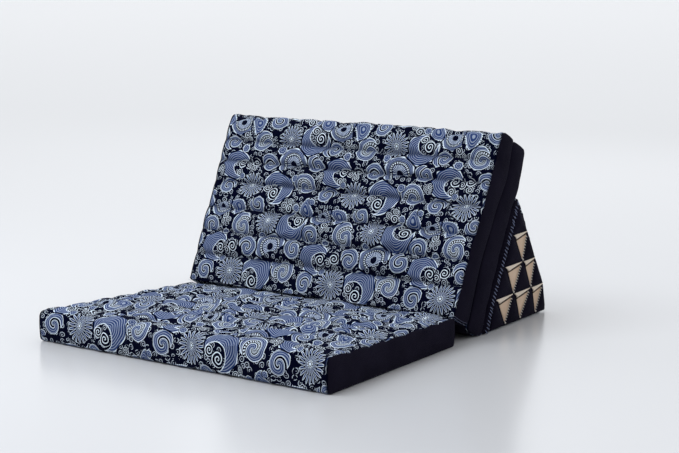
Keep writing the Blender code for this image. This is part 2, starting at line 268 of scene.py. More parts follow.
class Cloth:
    """A cloth's material while it is made: each call adds a node and gives its result."""

    def __init__(self, name):
        self.material = bpy.data.materials.new(name)
        self.material.use_nodes = True
        self.tree = self.material.node_tree
        self.shader = self.tree.nodes["Principled BSDF"]

    def add(self, kind, values=(), **settings):
        """A node with its settings and its first inputs."""
        node = self.tree.nodes.new(kind)
        for key, value in settings.items():
            setattr(node, key, value)
        for socket, value in zip(node.inputs, values):
            self.give(socket, value)
        return node

    def give(self, socket, value):
        """Links a result to a socket, or sets a plain value on it."""
        if isinstance(value, bpy.types.NodeSocket):
            self.tree.links.new(value, socket)
        elif value is not None:
            socket.default_value = value

    def number(self, operation, *values):
        """One step of arithmetic."""
        return self.add("ShaderNodeMath", values, operation=operation).outputs[0]

    times = partialmethod(number, "MULTIPLY")
    plus = partialmethod(number, "ADD")
    minus = partialmethod(number, "SUBTRACT")
    below = partialmethod(number, "LESS_THAN")
    above = partialmethod(number, "GREATER_THAN")
    most = partialmethod(number, "MAXIMUM")
    least = partialmethod(number, "MINIMUM")
    bounce = partialmethod(number, "PINGPONG")

    def point(self, operation, *values):
        """One step of arithmetic on points."""
        return self.add("ShaderNodeVectorMath", values, operation=operation).outputs[0]

    def length(self, point):
        """How far a point lies from zero."""
        return self.add("ShaderNodeVectorMath", (point,), operation="LENGTH").outputs[1]

    def choose(self, share, first, second, form="FLOAT"):
        """The first value at share 0 and the second at share 1."""
        node = self.add("ShaderNodeMix", (), data_type=form)
        at = {"FLOAT": (2, 3, 0), "VECTOR": (4, 5, 1), "RGBA": (6, 7, 2)}[form]
        self.give(node.inputs[0], share)
        self.give(node.inputs[at[0]], first)
        self.give(node.inputs[at[1]], second)
        return node.outputs[at[2]]

    def lines(self, value, count, width):
        """1 on thin lines that lie count to a unit of the value, and 0 between them."""
        near = self.bounce(self.times(value, count), 0.5)
        return self.below(near, width)

    def turns(self, point):
        """The angle of a point round zero, in turns."""
        parts = self.add("ShaderNodeSeparateXYZ", (point,)).outputs
        angle = self.number("ARCTAN2", parts[1], parts[0])
        return self.number("DIVIDE", angle, math.tau)

    def cloud(self, where, scale, detail=2.0):
        """Soft uneven patches from 0 to 1."""
        node = self.add("ShaderNodeTexNoise", (), noise_dimensions="3D")
        self.give(node.inputs["Vector"], where)
        node.inputs["Scale"].default_value = scale
        node.inputs["Detail"].default_value = detail
        return node.outputs[0]

    def weave(self, first, second, patches):
        """Raised threads that cross, over soft unevenness."""
        warp = self.number("SINE", self.times(first, math.tau / THREAD))
        weft = self.number("SINE", self.times(second, math.tau / THREAD))
        threads = self.times(warp, weft)
        height = self.number("MULTIPLY_ADD", patches, 6.0, threads)
        bump = self.add("ShaderNodeBump")
        bump.inputs["Strength"].default_value = 0.5
        bump.inputs["Distance"].default_value = 0.0004
        self.give(bump.inputs["Height"], height)
        self.give(self.shader.inputs["Normal"], bump.outputs[0])

    def finish(self, roughness, sheen, tint):
        """The cloth's own gloss and its soft bloom of fibres."""
        self.shader.inputs["Roughness"].default_value = roughness
        self.shader.inputs["Specular IOR Level"].default_value = 0.03
        self.shader.inputs["Sheen Weight"].default_value = sheen
        self.shader.inputs["Sheen Roughness"].default_value = 0.45
        self.shader.inputs["Sheen Tint"].default_value = tint
        return self.material


def nearest_motif(cloth, where):
    """The place on the nearest motif, from its centre in its own radius, with its kind as z.

    Also how far out that place is, and by how much the next motif is further away.
    """
    best = None
    reach = None
    other = 9.0
    for kind, x, y, radius, turn, hand in MOTIFS:
        centre = Vector((x, y)) / 1000
        low = (centre.x - REPEAT[0] / 2, centre.y - REPEAT[1] / 2, -1.0)
        high = (centre.x + REPEAT[0] / 2, centre.y + REPEAT[1] / 2, 1.0)
        wrapped = cloth.point("WRAP", where, high, low)
        own = cloth.add("ShaderNodeMapping", (wrapped,), vector_type="TEXTURE")
        own.inputs["Location"].default_value = (*centre, -MOTIF_KINDS.index(kind) / 1000)
        own.inputs["Rotation"].default_value = (0.0, 0.0, math.radians(turn))
        own.inputs["Scale"].default_value = (radius / 1000, hand * radius / 1000, 1.0)
        place = own.outputs[0]
        away = cloth.length(place)
        if best is None:
            best, reach = place, away
        else:
            closer = cloth.below(away, reach)
            best = cloth.choose(closer, best, place, "VECTOR")
            other = cloth.least(other, cloth.most(away, reach))
            reach = cloth.least(away, reach)
    return best, reach, cloth.minus(other, reach)


def contours(cloth, value, count, rim):
    """Blue cloth with fine paler lines: 1 on blue, a share more on a line, and 2 on the rim."""
    lined = cloth.number("MULTIPLY_ADD", cloth.lines(value, count, 0.17), LINE_PALE, 1.0)
    return cloth.most(lined, cloth.times(rim, 2.0))


def comma(cloth, out, turn):
    """A spiral arm that widens and then tapers to a tail: its place, its body and its rim."""
    arm = cloth.minus(cloth.times(out, 1.6), turn)
    late = cloth.times(cloth.most(cloth.minus(turn, 0.2), 0.0), 3.4)
    edge = cloth.minus(1.42, cloth.times(late, late))
    left = cloth.minus(edge, arm)
    return arm, cloth.above(left, 0.0), cloth.below(left, 0.075)


def draw_hook(cloth, at, out, turn):
    """A spiral whose arm widens outwards, with a navy gap between its turns."""
    arm, body, rim = comma(cloth, out, turn)
    near = cloth.bounce(cloth.minus(arm, 0.54), 0.5)
    pale = cloth.most(rim, cloth.below(near, 0.19))
    lined = contours(cloth, arm, 4.0, pale)
    return body, cloth.times(lined, cloth.above(near, 0.12))


def draw_shell(cloth, at, out, turn):
    """A spiral with a navy band of pale dots along its arm."""
    arm, body, rim = comma(cloth, out, turn)
    near = cloth.bounce(cloth.minus(arm, 0.64), 0.5)
    pale = cloth.most(rim, cloth.below(near, 0.27))
    lined = contours(cloth, arm, 5.0, pale)
    row = cloth.below(near, 0.10)
    dots = cloth.times(cloth.lines(turn, 24.0, 0.24), row)
    off_band = cloth.times(lined, cloth.above(near, 0.20))
    return body, cloth.most(off_band, cloth.times(dots, 2.0))


def draw_daisy(cloth, at, out, turn):
    """Twenty narrow petals round a dotted centre, an inner row between the outer ones."""
    inner = cloth.below(out, 0.56)
    shift = cloth.times(inner, 0.5)
    petal = cloth.bounce(cloth.number("MULTIPLY_ADD", turn, 20.0, shift), 0.5)
    ring = cloth.bounce(cloth.number("DIVIDE", out, 0.56), 1.0)
    tip = cloth.times(cloth.number("POWER", ring, 4.0), inner)
    edge = cloth.number("MULTIPLY_ADD", cloth.number("POWER", out, 5.0), -0.34, 0.38)
    edge = cloth.number("MULTIPLY_ADD", tip, -0.3, edge)
    inside = cloth.below(petal, edge)
    rim = cloth.above(petal, cloth.minus(edge, 0.13))
    pale = cloth.times(rim, 0.85)
    tone = cloth.times(inside, cloth.plus(pale, 1.0))
    ring = cloth.times(cloth.lines(turn, 9.0, 0.28), cloth.above(out, 0.12))
    heart = cloth.most(ring, cloth.below(out, 0.08))
    heart = cloth.times(heart, 2.0)
    tone = cloth.choose(cloth.below(out, 0.20), tone, heart)
    near = cloth.most(inside, cloth.below(out, 0.90))
    return cloth.times(cloth.below(out, 1.0), near), tone


def curl_at(cloth, at, centre, size):
    """A pale line that curls round a centre: 1 on the line, and how far away the centre is."""
    own = cloth.point("SUBTRACT", at, (*centre, 0.0))
    away = cloth.number("DIVIDE", cloth.length(own), size)
    curl = cloth.minus(cloth.times(away, 2.2), cloth.turns(own))
    near = cloth.below(away, 1.0)
    return cloth.times(cloth.lines(curl, 1.0, 0.15), near), near


def draw_crescent(cloth, at, out, turn):
    """A broad crescent of fine lines that opens on one side, with curls in its hollow."""
    away = cloth.length(cloth.point("SUBTRACT", at, (0.50, 0.12, 0.0)))
    rim = cloth.most(cloth.below(away, 0.65), cloth.above(out, 1.0))
    lined = contours(cloth, out, 9.0, rim)
    first, near_first = curl_at(cloth, at, (0.38, 0.28), 0.36)
    last, near_last = curl_at(cloth, at, (0.62, -0.26), 0.26)
    drawn = cloth.times(cloth.plus(first, last), 2.0)
    hollow = cloth.below(away, 0.61)
    tone = cloth.choose(hollow, lined, drawn)
    near = cloth.most(near_first, near_last)
    solid = cloth.times(cloth.below(out, 1.05), cloth.minus(1.0, hollow))
    return cloth.most(solid, near), tone


def draw_fan(cloth, at, out, turn):
    """An arch of fine lines over a row of dots and a fan of rays."""
    rays = cloth.plus(cloth.lines(turn, 26.0, 0.17), 1.0)
    rays = cloth.times(rays, cloth.above(out, 0.22))
    dots = cloth.times(cloth.lines(turn, 30.0, 0.27), 2.0)
    lined = contours(cloth, out, 11.0, cloth.above(out, 0.96))
    tone = cloth.choose(cloth.above(out, 0.52), rays, 0.0)
    tone = cloth.choose(cloth.above(out, 0.58), tone, dots)
    tone = cloth.choose(cloth.above(out, 0.67), tone, 0.0)
    tone = cloth.choose(cloth.above(out, 0.72), tone, lined)
    height = cloth.add("ShaderNodeSeparateXYZ", (at,)).outputs[1]
    upper = cloth.above(height, -0.30)
    return cloth.times(upper, cloth.below(out, 1.04)), tone


def draw_drop(cloth, at, out, turn):
    """A bent drop of nested outlines with a scalloped rim."""
    parts = cloth.add("ShaderNodeSeparateXYZ", (at,)).outputs
    square = cloth.times(parts[1], parts[1])
    bent = cloth.number("MULTIPLY_ADD", square, 0.55, cloth.minus(parts[0], 0.15))
    wide = cloth.times(cloth.times(bent, bent), 2.4)
    narrow = cloth.most(cloth.minus(1.15, parts[1]), 0.05)
    size = cloth.plus(cloth.number("DIVIDE", wide, narrow), square)
    lined = contours(cloth, size, 4.0, cloth.number("COMPARE", size, 0.92, 0.06))
    scallops = cloth.times(cloth.lines(turn, 22.0, 0.30), 2.0)
    tone = cloth.choose(cloth.above(size, 0.99), lined, scallops)
    return cloth.below(size, 1.18), tone


def draw_flower(cloth, at, out, turn):
    """A small round flower of eight petals with a ring and a dot."""
    wave = cloth.number("COSINE", cloth.times(turn, 8 * math.tau))
    size = cloth.number("DIVIDE", out, cloth.number("MULTIPLY_ADD", wave, 0.08, 0.92))
    tone = contours(cloth, size, 2.5, cloth.above(size, 0.88))
    return cloth.below(size, 1.0), tone


def draw_curls(cloth, at, out, turn):
    """Three pale curls in plain line on the navy ground."""
    drawn = 0.0
    near = 0.0
    for centre, size in (((0.30, 0.38), 0.62), ((-0.48, -0.12), 0.46), ((0.38, -0.52), 0.42)):
        line, inside = curl_at(cloth, at, centre, size)
        drawn = cloth.most(drawn, line)
        near = cloth.most(near, inside)
    return near, cloth.times(drawn, 2.0)


def draw_ground(cloth, where):
    """Small curls, rings and dots in pale line on the navy ground between the motifs."""
    cells = cloth.add("ShaderNodeTexVoronoi", (), voronoi_dimensions="2D")
    cloth.give(cells.inputs["Vector"], where)
    cells.inputs["Scale"].default_value = 62.0
    cells.inputs["Randomness"].default_value = 0.8
    turn = cloth.turns(cloth.point("SUBTRACT", where, cells.outputs["Position"]))
    out = cells.outputs["Distance"]
    curl = cloth.minus(cloth.times(out, 3.6), turn)
    curls = cloth.lines(curl, 1.0, 0.15)
    rings = cloth.lines(cloth.minus(out, 0.02), 3.4, 0.15)
    picked = cloth.add("ShaderNodeSeparateColor", (cells.outputs["Color"],)).outputs[0]
    drawn = cloth.choose(cloth.above(picked, 0.45), rings, curls)
    inside = cloth.below(out, 0.42)
    return cloth.times(cloth.times(drawn, inside), 1.7)


def print_cloth():
    """Cotton with the paisley print, a plain weave, and blue that has worn a little paler."""
    cloth = Cloth("print_cloth")
    flat = cloth.add("ShaderNodeUVMap", (), uv_map="cloth").outputs[0]
    drift = cloth.add("ShaderNodeTexNoise", (), noise_dimensions="2D")
    cloth.give(drift.inputs["Vector"], flat)
    drift.inputs["Scale"].default_value = 18.0
    moved = cloth.point("MULTIPLY_ADD", drift.outputs["Color"], (0.007, 0.007, 0.0), flat)
    where = cloth.point("SUBTRACT", moved, (0.0035, 0.0035, 0.0))
    at, out, gap = nearest_motif(cloth, where)
    turn = cloth.turns(at)
    kind = cloth.times(cloth.add("ShaderNodeSeparateXYZ", (at,)).outputs[2], 1000.0)
    drawings = (
        draw_hook,
        draw_daisy,
        draw_crescent,
        draw_shell,
        draw_fan,
        draw_drop,
        draw_flower,
        draw_curls,
    )
    body, tone = 0.0, 0.0
    for index, drawing in enumerate(drawings):
        own_body, own_tone = drawing(cloth, at, out, turn)
        chosen = cloth.number("COMPARE", kind, float(index), 0.4)
        body = cloth.choose(chosen, body, own_body)
        tone = cloth.choose(chosen, tone, own_tone)
    tone = cloth.choose(body, draw_ground(cloth, where), tone)
    tone = cloth.times(tone, cloth.above(gap, OUTLINE))
    patches = cloth.cloud(flat, 14.0, 4.0)
    blue = cloth.choose(patches, BLUE, BLUE_WORN, "RGBA")
    inked = cloth.choose(cloth.least(tone, 1.0), NAVY, blue, "RGBA")
    pale = cloth.most(cloth.minus(tone, 1.0), 0.0)
    printed = cloth.choose(pale, inked, PALE, "RGBA")
    # Painted shade: darkens the print towards navy along the sewn valleys and on its hidden edges
    seam_valley_and_painted_shade = cloth.add("ShaderNodeAttribute", (), attribute_name="seam_valley_and_painted_shade").outputs["Fac"]
    shaded = cloth.choose(cloth.times(seam_valley_and_painted_shade, VALLEY_SHADE), printed, NAVY, "RGBA")
    cloth.give(cloth.shader.inputs["Base Color"], shaded)
    parts = cloth.add("ShaderNodeSeparateXYZ", (flat,)).outputs
    cloth.weave(parts[0], parts[1], cloth.cloud(flat, 130.0, 3.0))
    return cloth.finish(0.85, 0.006, (0.62, 0.72, 1.0, 1.0))


PRINT = print_cloth()


def add_piece(name, bm, material, place=None):
    """A finished piece that rides on the cushion, with its place in its mesh."""
    if place is not None:
        bmesh.ops.transform(bm, matrix=place, verts=bm.verts)
    mesh = bpy.data.meshes.new(name)
    bm.to_mesh(mesh)
    bm.free()
    mesh.materials.append(material)
    mesh.shade_smooth()
    piece = bpy.data.objects.new(name, mesh)
    bpy.context.scene.collection.objects.link(piece)
    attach(piece, "root")
    return piece


def between(rows, share):
    """Reads a table of (share, value) rows at a share, with soft turns at its rows."""
    for (low, first), (high, last) in zip(rows, rows[1:]):
        if share <= high:
            t = min(max((share - low) / (high - low), 0.0), 1.0)
            return first + (last - first) * t * t * (3 - 2 * t)
    return rows[-1][1]


def channel_lines(mat):
    """How far along the mat each sewn line lies, with both of its ends."""
    lines = [0.0]
    for width in mat["channels"]:
        lines.append(lines[-1] + width)
    return lines


def lobe(share):
    """0 at both seams of a stuffed row and 1 at its middle."""
    return (4 * share * (1 - share)) ** 0.6


def fullness(mat, s):
    """0 on a sewn line and 1 on a channel's crest."""
    lines = channel_lines(mat)
    for low, high in zip(lines, lines[1:]):
        if s <= high:
            share = min(max((s - low) / (high - low), 0.0), 1.0)
            return lobe(share)
    return 0.0


def soften(name, point):
    """Where a point of the mat's plain box lies on the filled mat."""
    mat = MATS[name]
    facing = PLACES[name][1]
    x, s, n = point
    across = x / HALF_WIDTH
    along = min(max(s / channel_lines(mat)[-1], 0.0), 1.0)
    level = n / MAT_BOX
    middle = 1 - min(abs(across), 1.0) ** 4
    from_ends = abs(2 * along - 1)

    edge = between(mat["edge"], along) * (1 + mat["tilt"] * across)
    crown = mat["crown"] * middle * (1 - from_ends**4)
    depth = mat["dip"] * (DIP_SIDE + (DIP_MIDDLE - DIP_SIDE) * middle)
    top = edge + crown - depth * (1 - fullness(mat, s)) * (1 - from_ends**30)
    base = facing * between(FOLD_BEND, s - mat["drop"]) if "drop" in mat else 0.0

    swell = 1 - (2 * level - 1) ** 2
    start, end = mat["right"] if x > 0 else mat["left"]
    half = start + (end - start) * along * along * (3 - 2 * along)
    side = SIDE_SWELL * swell * (1 - from_ends**8) * min(abs(across), 1.0) ** 12
    bulge = END_SWELL * swell * from_ends**16
    return Vector(
        (
            across * half + math.copysign(side, x),
            s + math.copysign(bulge, along - 0.5),
            facing * (base + (top - base) * level),
        )
    )


def round_edges(bm, edges, offset, segments):
    """Bevels edges to a round of the given offset."""
    bmesh.ops.bevel(
        bm,
        geom=edges,
        offset=offset,
        offset_type="OFFSET",
        segments=segments,
        profile=0.5,
        affect="EDGES",
        material=-1,
    )


def cut(bm, axis, positions):
    """Cuts the mesh across an axis at each position."""
    normal = Vector([float(i == axis) for i in range(3)])
    for position in positions:
        everything = bm.verts[:] + bm.edges[:] + bm.faces[:]
        bmesh.ops.bisect_plane(bm, geom=everything, plane_co=normal * position, plane_no=normal)


def divide_across(bm, cells):
    """Divides every edge that runs across the cushion into even cells."""
    running = [e for e in bm.edges if abs(e.verts[0].co.x - e.verts[1].co.x) > HALF_WIDTH]
    bmesh.ops.subdivide_edges(bm, edges=running, cuts=cells - 1, use_grid_fill=True)


def section_key(point):
    """A point's place on the section, rounded so that like points share it."""
    return round(point.y, 5), round(point.z, 5)


def round_section(bm, start):
    """How far along the cloth each point of the section lies, walked round from a start point."""
    right = max(v.co.x for v in bm.verts)
    rim = [e for e in bm.edges if all(abs(v.co.x - right) < SEAM_GAP for v in e.verts)]
    rim = [e for e in rim if any(abs(f.normal.x) < 0.5 for f in e.link_faces)]
    rim_verts = {v for e in rim for v in e.verts}
    here = min(rim_verts, key=lambda v: (Vector(v.co.yz) - Vector(start)).length)
    first, came, walked = here, None, 0.0
    distance = {section_key(here.co): 0.0}
    while True:
        onward = [e for e in here.link_edges if e in rim and e is not came]
        if came is None:
            onward.sort(key=lambda e: e.other_vert(here).co.y + e.other_vert(here).co.z)
        came = onward[0]
        walked += came.calc_length()
        here = came.other_vert(here)
        if here is first:
            return distance, walked
        distance[section_key(here.co)] = walked


def lay_print(bm, distance, total, offset, seams):
    """Gives the cloth its flat place on the print: across it, and along it from the offset.

    Each sewn line takes in a little of the print, and the print goes on round the side edges.
    """
    places = {}
    for vert in bm.verts:
        key = section_key(vert.co)
        if key not in places:
            near = key if key in distance else min(distance, key=lambda k: math.dist(k, key))
            places[key] = (distance[near], math.dist(near, key))
    layer = bm.loops.layers.uv.new("cloth")
    for face in bm.faces:
        found = [places[section_key(loop.vert.co)] for loop in face.loops]
        along = [value for value, _ in found]
        if max(along) - min(along) > total / 2:
            along = [total if value < total / 2 else value for value in along]
        middle = sum(along) / len(along)
        taken = offset + TUCK * sum(middle > seam for seam in seams)
        for loop, value, (_, inside) in zip(face.loops, along, found):
            across = loop.vert.co.x
            loop[layer].uv = (across + math.copysign(inside, across), value + taken)


def plain_mat(name):
    """The mat's plain box with round long edges, cut finely, with its print laid on it."""
    mat = MATS[name]
    lines = channel_lines(mat)
    length = lines[-1]
    half = HALF_WIDTH - CLOTH - SEAM_GAP
    bm = bmesh.new()
    bmesh.ops.create_cube(bm, size=1.0)
    size = Matrix.Diagonal((2 * half, length, MAT_BOX, 1.0))
    middle = Matrix.Translation((0.0, length / 2, MAT_BOX / 2))
    bmesh.ops.transform(bm, matrix=middle @ size, verts=bm.verts)
    corners = ((0.0, 0.0), (0.0, MAT_BOX), (length, 0.0), (length, MAT_BOX))
    for corner, radius in zip(corners, mat["rounds"]):
        edges = []
        for edge in bm.edges:
            if all((Vector(v.co.yz) - Vector(corner)).length < SEAM_GAP for v in edge.verts):
                edges.append(edge)
        round_edges(bm, edges, radius, 4)
    cuts = lines[1:-1]
    for low, high in zip(lines, lines[1:]):
        cuts += [low + (high - low) * k / CELLS_CHANNEL for k in range(1, CELLS_CHANNEL)]
    cut(bm, 1, cuts)
    cut(bm, 2, [MAT_BOX * k / CELLS_HEIGHT for k in range(1, CELLS_HEIGHT)])
    bm.normal_update()
    distance, total = round_section(bm, (length, mat["rounds"][2]))
    front_edge = distance[min(distance, key=lambda k: math.hypot(k[0], k[1] - MAT_BOX))]
    divide_across(bm, CELLS_ACROSS)
    seams = [distance[section_key(Vector((0.0, line, MAT_BOX)))] for line in lines[1:-1]]
    lay_print(bm, distance, total, mat["print_from"] - front_edge, seams)
    return bm


def sewn_points(name, plain):
    """The points of a mat's cloth that its seams and its neighbours hold in place."""
    mat = MATS[name]
    lines = channel_lines(mat)
    half = HALF_WIDTH - CLOTH - SEAM_GAP
    held = []
    for index, (x, s, n) in enumerate(plain):
        on_side = abs(x) > half - SEAM_GAP
        on_base = n < MAT_BOX / CELLS_HEIGHT / 2
        on_line = n > MAT_BOX - SEAM_GAP and min(abs(s - line) for line in lines) < SEAM_GAP
        hinged = s > lines[-1] - SEAM_GAP if name == "seat_mat" else s < SEAM_GAP
        if on_side or on_base or on_line or hinged:
            held.append(index)
    return held


def swell(piece, held, cap):
    """Fills the cloth: it swells between the points that are held, no further than the cap."""
    mesh = piece.data
    before = [v.co.copy() for v in mesh.vertices]
    piece.vertex_groups.new(name="held").add(held, 1.0, "REPLACE")
    cloth = piece.modifiers.new("Kapok", "CLOTH")
    cloth.settings.quality = 6
    cloth.settings.mass = 0.25
    cloth.settings.tension_stiffness = 25.0
    cloth.settings.compression_stiffness = 25.0
    cloth.settings.shear_stiffness = 8.0
    cloth.settings.bending_stiffness = 0.12
    cloth.settings.shrink_min = CLOTH_SLACK
    cloth.settings.vertex_group_mass = "held"
    cloth.settings.use_pressure = True
    cloth.settings.uniform_pressure_force = SWELL_PRESSURE
    cloth.settings.effector_weights.gravity = 0.0
    cloth.collision_settings.use_collision = False
    cloth.point_cache.frame_end = SWELL_FRAMES
    scene = bpy.context.scene
    for step in range(1, SWELL_FRAMES + 1):
        scene.frame_set(step)
    swollen = piece.evaluated_get(bpy.context.evaluated_depsgraph_get())
    after = [v.co.copy() for v in swollen.data.vertices]
    piece.modifiers.remove(cloth)
    piece.vertex_groups.clear()
    scene.frame_set(1)
    for vert, old, new in zip(mesh.vertices, before, after):
        move = new - old
        if move.length > cap:
            move *= cap / move.length
        vert.co = old + move
        vert.co.z = max(vert.co.z, 0.0)


def smooth_cloth(piece, levels):
    """Rounds a piece's mesh off once its shape is settled."""
    smooth = piece.modifiers.new("Smooth", "SUBSURF")
    smooth.levels = smooth.render_levels = levels


def seam_valley_and_painted_shade(lines, s):
    """1 on the nearest of the sewn lines, fading to 0 a little beside it."""
    near = min(abs(s - line) for line in lines)
    return math.exp(-((near / VALLEY_WIDTH) ** 2))


def unevenness(name, point):
    """How far hand filling and sewing move a point of the channelled face out of line."""
    x, s, n = point
    lines = channel_lines(MATS[name])[1:-1]
    seed = len(name) + 3.0 * PLACES[name][1]
    inner = 1 - min(abs(x) / HALF_WIDTH, 1.0) ** 6
    lump = LUMP * noise.noise((x * 7.0, s * 16.0, seed)) * fullness(MATS[name], s)
    pucker = PUCKER * noise.noise((x * 42.0, s * 12.0, seed + 5.0))
    return inner * (n / MAT_BOX) ** 4 * (lump + seam_valley_and_painted_shade(lines, s) * (pucker - VALLEY_DEPTH))


def make_mat(name):
    """One filled mat, and its mesh before it is smoothed, which its side cloths are cut from."""
    place, facing = PLACES[name]
    bm = plain_mat(name)
    plain = [v.co.copy() for v in bm.verts]
    lines = channel_lines(MATS[name])[1:-1]
    # Painted shade along the sewn lines of the top face
    painted_shade_layer = bm.verts.layers.float.new("seam_valley_and_painted_shade")
    rim = HALF_WIDTH - CLOTH - 2 * SEAM_GAP
    for vert in bm.verts:
        vert[painted_shade_layer] = seam_valley_and_painted_shade(lines, vert.co.y) * (vert.co.z / MAT_BOX) ** 8
        # Painted shade: the print's side edges under the gussets are painted nearly navy
        if abs(vert.co.x) > rim and vert.co.z < MAT_BOX - SEAM_GAP:
            vert[painted_shade_layer] = SEAM_SHADE
        lift = Vector((0.0, 0.0, facing * unevenness(name, vert.co)))
        vert.co = place @ (soften(name, vert.co) + lift)
        vert.co.z = max(vert.co.z, 0.0)
    bm.normal_update()
    bmesh.ops.recalc_face_normals(bm, faces=bm.faces)
    sides = bm.copy()
    piece = add_piece(f"{name}_print", bm, PRINT)
    swell(piece, sewn_points(name, plain), SWELL_CAP)
    smooth_cloth(piece, 1)
    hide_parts(name)
    return sides


MAT_SIDES = {name: make_mat(name) for name in MATS}


# The gussets: plain navy cotton, one strip sewn over each side of a mat. They puff a little, and
# a row of short serging stitches shows along the lower seam of the seat's.
GUSSET_PUFF = 0.0030
GUSSET_PATCH = 9.0
GUSSET_SOFT = 0.012
NAVY_CLOTH = (0.0036, 0.0030, 0.0090, 1.0)
NAVY_CLOTH_WORN = (0.0150, 0.0125, 0.0260, 1.0)


def navy_cloth():
    """Plain navy cotton, a little dusty on its high patches."""
    cloth = Cloth("navy_cloth")
    where = cloth.add("ShaderNodeTexCoord").outputs["Object"]
    parts = cloth.add("ShaderNodeSeparateXYZ", (where,)).outputs
    dust = cloth.cloud(where, 18.0, 5.0)
    colour = cloth.choose(dust, NAVY_CLOTH, NAVY_CLOTH_WORN, "RGBA")
    cloth.give(cloth.shader.inputs["Base Color"], colour)
    along = cloth.plus(parts[0], parts[1])
    cloth.weave(along, parts[2], cloth.cloud(where, 90.0, 3.0))
    return cloth.finish(0.85, 0.012, (0.75, 0.78, 1.0, 1.0))


NAVY_COTTON = navy_cloth()


def make_gusset(name, side, sign, sides):
    """The navy cloth over one side of a mat, cut to that side's outline and puffed a little."""
    bm = sides.copy()
    bm.normal_update()
    others = [f for f in bm.faces if f.normal.x * sign < 0.6]
    bmesh.ops.delete(bm, geom=others, context="FACES")
    rim = {v for e in bm.edges if e.is_boundary for v in e.verts}
    middle = [v for v in bm.verts if v not in rim]
    for vert in bm.verts:
        vert.co.x += sign * (CLOTH + SEAM_GAP)
    for vert in middle:
        near = min((vert.co - r.co).length for r in rim)
        patch = noise.noise(vert.co * GUSSET_PATCH) + 0.5 * noise.noise(vert.co * GUSSET_PATCH * 4)
        vert.co.x += sign * GUSSET_PUFF * (1 - math.exp(-near / GUSSET_SOFT)) * (1 + 0.6 * patch)
    piece = add_piece(f"{name}_side_{side}", bm, NAVY_COTTON)
    thick = piece.modifiers.new("Thickness", "SOLIDIFY")
    thick.thickness = CLOTH
    thick.offset = -1.0
    smooth_cloth(piece, 1)
    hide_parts(f"{name}_gusset_{side}")


SERGE_LENGTH = 0.0052
SERGE_THICK = 0.0005
SERGE_STEP = 0.0092
SERGE_HEIGHT = 0.0045
GREY_THREAD = (0.200, 0.200, 0.270, 1.0)
STITCH_SIDES = 1
THREAD_SHADE = 0.6


def thread_material(name, colour):
    """Twisted cotton thread."""
    cloth = Cloth(name)
    where = cloth.add("ShaderNodeTexCoord").outputs["Object"]
    deep = [part * THREAD_SHADE for part in colour[:3]] + [1.0]
    shaded = cloth.choose(cloth.cloud(where, 300.0, 2.0), deep, colour, "RGBA")
    cloth.give(cloth.shader.inputs["Base Color"], shaded)
    parts = cloth.add("ShaderNodeSeparateXYZ", (where,)).outputs
    cloth.weave(parts[1], parts[2], cloth.cloud(where, 500.0, 2.0))
    return cloth.finish(0.7, 0.1, (1.0, 1.0, 1.0, 1.0))


GREY_COTTON = thread_material("grey_thread", GREY_THREAD)


def sew(name, stitches, length, thick, material, place):
    """A row of stitches: short rounded threads, each at a point and along a direction."""
    bm = bmesh.new()
    for point, direction in stitches:
        turn = direction.to_track_quat("Z", "Y").to_matrix().to_4x4()
        size = Matrix.Diagonal((thick, thick, length / 2, 1.0))
        matrix = Matrix.Translation(point) @ turn @ size
        bmesh.ops.create_icosphere(bm, subdivisions=STITCH_SIDES, radius=1.0, matrix=matrix)
    return add_piece(name, bm, material, place)


def side_place(name, sign, s, n):
    """Where a point lies on the outer face of a mat's gusset."""
    place, facing = PLACES[name]
    half = HALF_WIDTH - CLOTH - SEAM_GAP
    point = soften(name, (sign * half, s, n))
    point.x += sign * (CLOTH + SEAM_GAP)
    return place @ point


def serge_seat(side, sign):
    """The serging stitches that show along the lower seam of the seat's gusset."""
    length = channel_lines(MATS["seat_mat"])[-1]
    stitches = []
    for k in range(1, int(length / SERGE_STEP)):
        s = SERGE_STEP * (k + 0.25 * noise.noise((k * 1.7, sign, 0.0)))
        here = side_place("seat_mat", sign, s, SERGE_HEIGHT)
        along = side_place("seat_mat", sign, s + SERGE_STEP / 2, SERGE_HEIGHT) - here
        here.z = SERGE_HEIGHT * (0.8 + 0.3 * noise.noise((k * 2.3, sign, 4.0)))
        stitches.append((here, along.normalized()))
    name = f"seat_serging_{side}"
    sew(name, stitches, SERGE_LENGTH, SERGE_THICK, GREY_COTTON, None)


for mat_name, side_mesh in MAT_SIDES.items():
    for end_side, end_sign in ENDS:
        make_gusset(mat_name, end_side, end_sign, side_mesh)
    side_mesh.free()
for end_side, end_sign in ENDS:
    serge_seat(end_side, end_sign)


# The bolster: a triangular pillow of stuffed tubes in the same print. Its back slope swells between
# its sewn rows, its front slope carries the standing mats, and its base lies on the floor.
BOLSTER_FRONT = (0.6318, 0.0, 0.012)
BOLSTER_TOP = (0.7864, 0.3326, 0.024)
BOLSTER_BACK = (0.9670, 0.0, 0.026)
BOLSTER_HALF = 0.3965
BOLSTER_SWELL = 0.009
BOLSTER_ROW = 0.0735
BOLSTER_ROWS = 4
BOLSTER_CELLS_ROW = 9
BOLSTER_CELL = 0.012
BOLSTER_SWELL_CAP = 0.005
BOLSTER_PRINT_FROM = 0.08


def edges_at(bm, corner):
    """The edges that run across the cushion through a corner of the section, as (Y, Z)."""
    corner = Vector(corner)
    return [e for e in bm.edges if all((Vector(v.co.yz) - corner).length < SEAM_GAP for v in e.verts)]


def back_depth(point):
    """How deep a point lies under the plane of the bolster's back slope, and that plane's normal."""
    top = Vector(BOLSTER_TOP[:2])
    slope = Vector(BOLSTER_BACK[:2]) - top
    outward = Vector((-slope.y, slope.x)).normalized()
    return (top - Vector(point.yz)).dot(outward), outward


